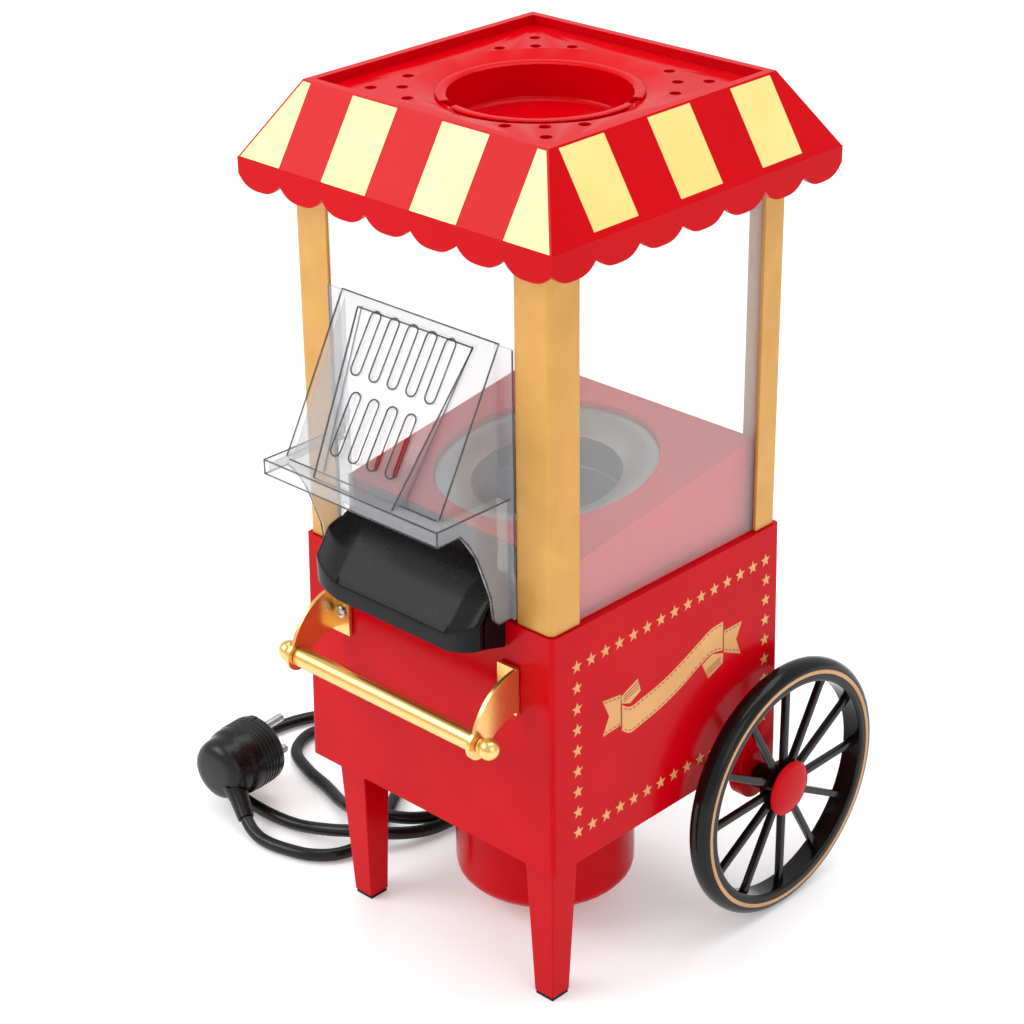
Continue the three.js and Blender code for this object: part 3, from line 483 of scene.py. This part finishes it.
def chute_point(x, y, z):
    """The sides turn up, and the front edge turns back towards them."""
    past = max(0, abs(x) - CHUTE_FLAT) / (CHUTE_HALF - CHUTE_FLAT)
    turn = min(1, max(0, abs(x) - CHUTE_BEND) / (CHUTE_HALF - CHUTE_BEND))
    back = SWEPT_BACK * (1 - math.sqrt(1 - turn * turn)) * min(1, max(0, (-82 - y) / 18))
    lift = WING_RISE * past ** 1.15 * min(1, max(0, (-81 - y) / 12))
    return x, y + back, z + lift * (1 if z > BAND_Z + 0.1 else 0.5)


def chute():
    """The curved sheet over the outlet, with its front band and a cheek at each end."""
    top = [(p.x, p.y) for p in smooth_line([(y, z, 0) for y, z in CHUTE_TOP], 3)]
    under = [(p.x, p.y) for p in smooth_line([(y, z, 0) for y, z in CHUTE_UNDER], 3)]
    profile = [*top, (-102.2, 203), (-102.3, 201), (-102, BAND_Z), (-99.5, BAND_Z), *under]
    stations = [CHUTE_HALF * math.sin(math.pi * k / 72) for k in range(-36, 37)]
    sheet = swept([[chute_point(x, y, z) for y, z in profile] for x in stations])
    cheek = [(-60, 208), (-60, 231), (-75, 227.5), (-86, 220), (-95, 210.2), (-100.5, 203),
             (-100.5, BAND_Z), (-81.6, BAND_Z), (-81.6, 208)]
    cheeks = [swept([[chute_point(x, y, z) for y, z in cheek] for x in ends])
              for ends in ((-CHUTE_HALF, CHEEK - CHUTE_HALF), (CHUTE_HALF - CHEEK, CHUTE_HALF))]
    return join(sheet, *cheeks)


soften(new_object("chute_moulding", *chute(), [CHUTE_BLACK], "cart", "black_plastic", ["chute"]), 0.7, 3, 40)


# ---------- wheels ----------
WHEEL_X, WHEEL_Y, WHEEL_R = 94.2, 73, 68
SPOKE_SECTION = [(-1, -0.7), (-0.8, -1), (0.8, -1), (1, -0.7), (1, 0.7), (0.8, 1), (-0.8, 1), (-1, 0.7)]


def wheel_parts():
    """Rim, spokes and hub, drawn about Z with the outer face up."""
    tread = [(57, 4.6), (57.2, 5.3), (57.9, 5.85), (58.8, 6), (63, 6), (64.3, 5.85), (65.6, 5.3), (66.7, 4.3),
             (67.5, 3), (67.9, 1.5), (68, 0)]
    rim = lathe(tread + [(r, -z) for r, z in reversed(tread[:-1])], 120, closed=True)
    hub = lathe([(0, -15.5), (5.7, -15.5), (6.5, -14.8), (6.5, -6.2), (10.6, -6), (11.5, -5.2), (11.5, 2.6),
                 (11, 3.2), (0, 3.2)], 64)
    spokes = []
    for i in range(12):
        turn = 2 * math.pi * i / 12
        rings = []
        for r in (9.0, 13.0, 20.0, 40.0, 53.0, 56.2, 58.0):
            wide = 2.0 - 0.25 * min(1, max(0, (r - 12) / 12)) + (0.5 if r > 56 else 0)
            ring = []
            for u, v in SPOKE_SECTION:
                across = u * wide
                ring.append((r * math.cos(turn) - across * math.sin(turn),
                             r * math.sin(turn) + across * math.cos(turn), v * 1.7))
            rings.append(ring)
        spokes.append(swept(rings))
    return join(rim, hub, *spokes)


def pinstripe():
    return lathe([(61.1, 5.8), (61.3, 6.07), (62.8, 6.1), (63.3, 6.0), (62.9, 5.6)], 120, closed=True)


def hub_cap():
    return lathe([(0, 0.3), (13.8, 0.3), (14.5, 0.7), (14.5, 1.2), (13.9, 1.9), (11.5, 2.6), (7, 3.15),
                  (3, 3.3), (0, 3.35)], 64)


for side, name in ((-1, "left"), (1, "right")):
    body = f"{name}_wheel_body"
    centre = (side * WHEEL_X, WHEEL_Y, WHEEL_R)
    wheel = new_object(f"{name}_spoked_wheel", *outward(wheel_parts(), side, centre), [GLOSS_BLACK], body,
                       "black_gloss", [f"{name}_wheel"])
    weigh_normals(wheel)
    new_object(f"{name}_wheel_pinstripe", *outward(pinstripe(), side, centre), [PINSTRIPE], body,
               "gold_paint")
    face = (side * (WHEEL_X + 3.2), WHEEL_Y, WHEEL_R)
    new_object(f"{name}_hub_dome", *outward(hub_cap(), side, face), [RED], body, "red_paint",
               [f"{name}_hub_cap"])


# ---------- roof stripes ----------
EAVE, EAVE_Z, ROOF_TOP, ROOF_TOP_Z, STRIPES = 96, 395.5, 74, 431, 7


def roof_stripes():
    """Gold stripes that run up each slope, clipped at the hips, as thin raised foils."""
    lift = 0.12
    slope = math.hypot(EAVE - ROOF_TOP, ROOF_TOP_Z - EAVE_Z)
    out, up = (ROOF_TOP_Z - EAVE_Z) / slope, (EAVE - ROOF_TOP) / slope
    pitch = 2 * EAVE / STRIPES
    parts = []
    for turn in range(4):
        sideways = turn % 2 == 1
        low, high = (0.085, 0.975) if sideways else (0.02, 0.975)
        for i in range(1 if sideways else 0, STRIPES, 2):
            corners = []
            for t, edge in ((low, 0), (low, 1), (high, 1), (high, 0)):
                limit = EAVE + (ROOF_TOP - EAVE) * t - 1.3
                across = min(limit, max(-limit, -EAVE + (i + edge) * pitch))
                corners.append((across, EAVE + (ROOF_TOP - EAVE) * t, EAVE_Z + (ROOF_TOP_Z - EAVE_Z) * t))
            rings = []
            for height in (-0.3, lift):
                ring = []
                for across, away, z in corners:
                    away += height * out
                    x, y = ((across, -away), (away, across), (-across, away), (-away, -across))[turn]
                    ring.append((x, y, z + height * up))
                rings.append(ring)
            parts.append(swept(rings))
    return join(*parts)


new_object("roof_stripes", *roof_stripes(), [FOIL], "cart", "roof_print", smooth=False)


# ---------- printed stars and ribbon on the side walls ----------
WALL_LOW, WALL_HIGH = (82, 84.5), (80.5, 207.5)  # half the body's width, and the height there
STAR_R, STARS_FRONT, STARS_REAR, STARS_TOP, STARS_BOTTOM, STAR_DROP = 3.5, -64.6, 71, 188.2, 101, 10.9
PRINT_MIDDLE = 3  # the drawing's y that the left side's print mirrors about


def wall_half(z):
    share = (z - WALL_LOW[1]) / (WALL_HIGH[1] - WALL_LOW[1])
    return WALL_LOW[0] + (WALL_HIGH[0] - WALL_LOW[0]) * share


def printed(polygons, side, lift):
    """Flat shapes of (y, z) points, laid on a side wall as a thin print."""
    parts = []
    for polygon in polygons:
        rings = []
        for height in (-0.2, lift):
            rings.append([(side * (wall_half(z) + height), y if side > 0 else 2 * PRINT_MIDDLE - y, z)
                          for y, z in polygon])
        parts.append(swept(rings))
    return join(*parts)


def star(y, z):
    points = []
    for k in range(10):
        angle = math.pi / 2 + math.pi * k / 5
        reach = STAR_R if k % 2 == 0 else STAR_R * 0.42
        points.append((y + reach * math.cos(angle), z + reach * math.sin(angle)))
    return points


def star_border():
    stars = [star(STARS_FRONT + 9.63 * i, STARS_TOP + 0.18 * i) for i in range(15)]
    stars += [star(STARS_FRONT, STARS_TOP - STAR_DROP * i) for i in range(1, 9)]
    stars += [star(STARS_REAR, STARS_TOP + 2.5 - STAR_DROP * i) for i in range(1, 9)]
    stars += [star(STARS_FRONT + 9.7 * i, STARS_BOTTOM) for i in range(1, 14)]
    return stars


# The waving ribbon: y, and the heights of its lower and upper edge.
RIBBON = [(-34.0, 141.8, 155.4), (-28.5, 138.4, 152.2), (-19.0, 139.8, 153.4), (-4.5, 142.8, 156.4),
          (9.5, 147.6, 161.2), (21.0, 152.8, 166.0), (30.0, 155.8, 169.4), (38.6, 154.6, 170.0)]
RIBBON_LINE = [tuple(p) for p in smooth_line(RIBBON, 8)]


def ribbon_at(y):
    """The ribbon's lower and upper edge at a place along it."""
    for (y0, low0, high0), (y1, low1, high1) in zip(RIBBON_LINE, RIBBON_LINE[1:]):
        if y <= y1:
            share = max(0.0, (y - y0) / (y1 - y0))
            return low0 + (low1 - low0) * share, high0 + (high1 - high0) * share
    return RIBBON_LINE[-1][1:]


def strip(points, width=0.5):
    """Thin upright-measured lines from point to point."""
    return [[(y0, z0 - width / 2), (y1, z1 - width / 2), (y1, z1 + width / 2), (y0, z0 + width / 2)]
            for (y0, z0), (y1, z1) in zip(points, points[1:])]


def ribbon():
    left = [(-47.4, 144.4), (-35.0, 145.2), (-35.0, 161.4), (-47.4, 163.0), (-43.0, 153.4)]
    right = [(39.6, 153.0), (52.4, 147.0), (48.8, 156.4), (52.9, 164.6), (39.6, 164.6)]
    folds = [[(-34.6, 156.4), (-34.6, 160.2), (-23.1, 164.8), (-21.0, 157.6), (-28.5, 154.2)],
             [(39.2, 152.6), (38.8, 147.4), (28.1, 143.5), (23.4, 152.6), (31.0, 155.4)]]
    front = [(y, low) for y, low, _ in RIBBON_LINE] + [(y, high) for y, _, high in reversed(RIBBON_LINE)]
    return [left, right, *folds], [front]


def stitches():
    dashes = []
    for i in range(24):
        ends = [-32.4 + i * 2.95, -30.7 + i * 2.95]
        dashes += strip([(y, ribbon_at(y)[0] + 1.3) for y in ends], 0.6)
        dashes += strip([(y, ribbon_at(y)[1] - 1.3) for y in ends], 0.6)
    for i in range(4):
        for y, z, slope in ((-46.0, 145.7, 0.05), (-46.0, 161.6, -0.13), (40.6, 153.8, -0.42),
                            (40.6, 163.4, 0.02)):
            start = y + i * 2.9
            height = z + slope * (start - y)
            dashes += strip([(start, height), (start + 1.6, height + slope * 1.6)])
    for rise in (1.2, 2.6, 4.0):
        dashes += strip([(-32.8, 155.4 + rise), (-22.6, 158.2 + rise * 1.3)], 0.4)
        dashes += strip([(37.2, 152.4 - rise), (26.6, 149.4 - rise * 1.1)], 0.4)
    dashes += [[(-34.9, 142.2), (-34.2, 141.8), (-34.2, 155.6), (-34.9, 161.2)],
               [(38.8, 154.4), (39.5, 153.4), (39.5, 165.4), (38.8, 169.8)]]
    return dashes


for side, name in ((-1, "left"), (1, "right")):
    tails, front = ribbon()
    for title, shapes, lift, material, slot in (
            ("star_print", star_border(), 0.1, PRINT, "gold_paint"),
            ("ribbon_tails", tails, 0.08, PRINT, "gold_paint"),
            ("ribbon", front, 0.13, PRINT, "gold_paint"),
            ("ribbon_stitches", stitches(), 0.2, PRINT_DARK, "red_paint")):
        new_object(f"{name}_{title}", *printed(shapes, side, lift), [material], "cart", slot, smooth=False)


# ---------- floor, lights ----------
def stage_floor():
    mesh = bpy.data.meshes.new("floor")
    size = 6.0
    mesh.from_pydata([(-size, -size, 0), (size, -size, 0), (size, size, 0), (-size, size, 0)], [],
                     [(0, 1, 2, 3)])
    material, nodes, links, shader = new_material("pale_floor")
    shader.inputs["Base Color"].default_value = (0.92, 0.92, 0.93, 1)
    shader.inputs["Emission Color"].default_value = (1, 1, 1, 1)
    shader.inputs["Emission Strength"].default_value = 0.2
    shader.inputs["Roughness"].default_value = 0.35
    mesh.materials.append(material)
    floor = bpy.data.objects.new("floor", mesh)
    bpy.context.scene.collection.objects.link(floor)


def area_light(name, at, target, size, power, colour=(1, 1, 1)):
    data = bpy.data.lights.new(name, "AREA")
    data.shape = "RECTANGLE"
    data.size, data.size_y = size
    data.energy = power
    data.color = colour
    light = bpy.data.objects.new(name, data)
    light.location = at
    light.rotation_euler = (Vector(target) - Vector(at)).to_track_quat("-Z", "Y").to_euler()
    bpy.context.scene.collection.objects.link(light)


stage_floor()
area_light("key", (-0.9, -1.2, 1.3), (0, 0, 0.2), (1.2, 0.9), 17)
area_light("fill", (1.5, -0.4, 0.9), (0, 0, 0.2), (1.0, 1.2), 5)
area_light("top", (0.1, 0.3, 1.9), (0, 0, 0.2), (1.5, 1.5), 18)
world = bpy.data.worlds.new("studio")
world.use_nodes = True
world.node_tree.nodes["Background"].inputs["Color"].default_value = (1, 1, 1, 1)
world.node_tree.nodes["Background"].inputs["Strength"].default_value = 0.8
bpy.context.scene.world = world
bpy.context.scene.view_settings.view_transform = "Standard"
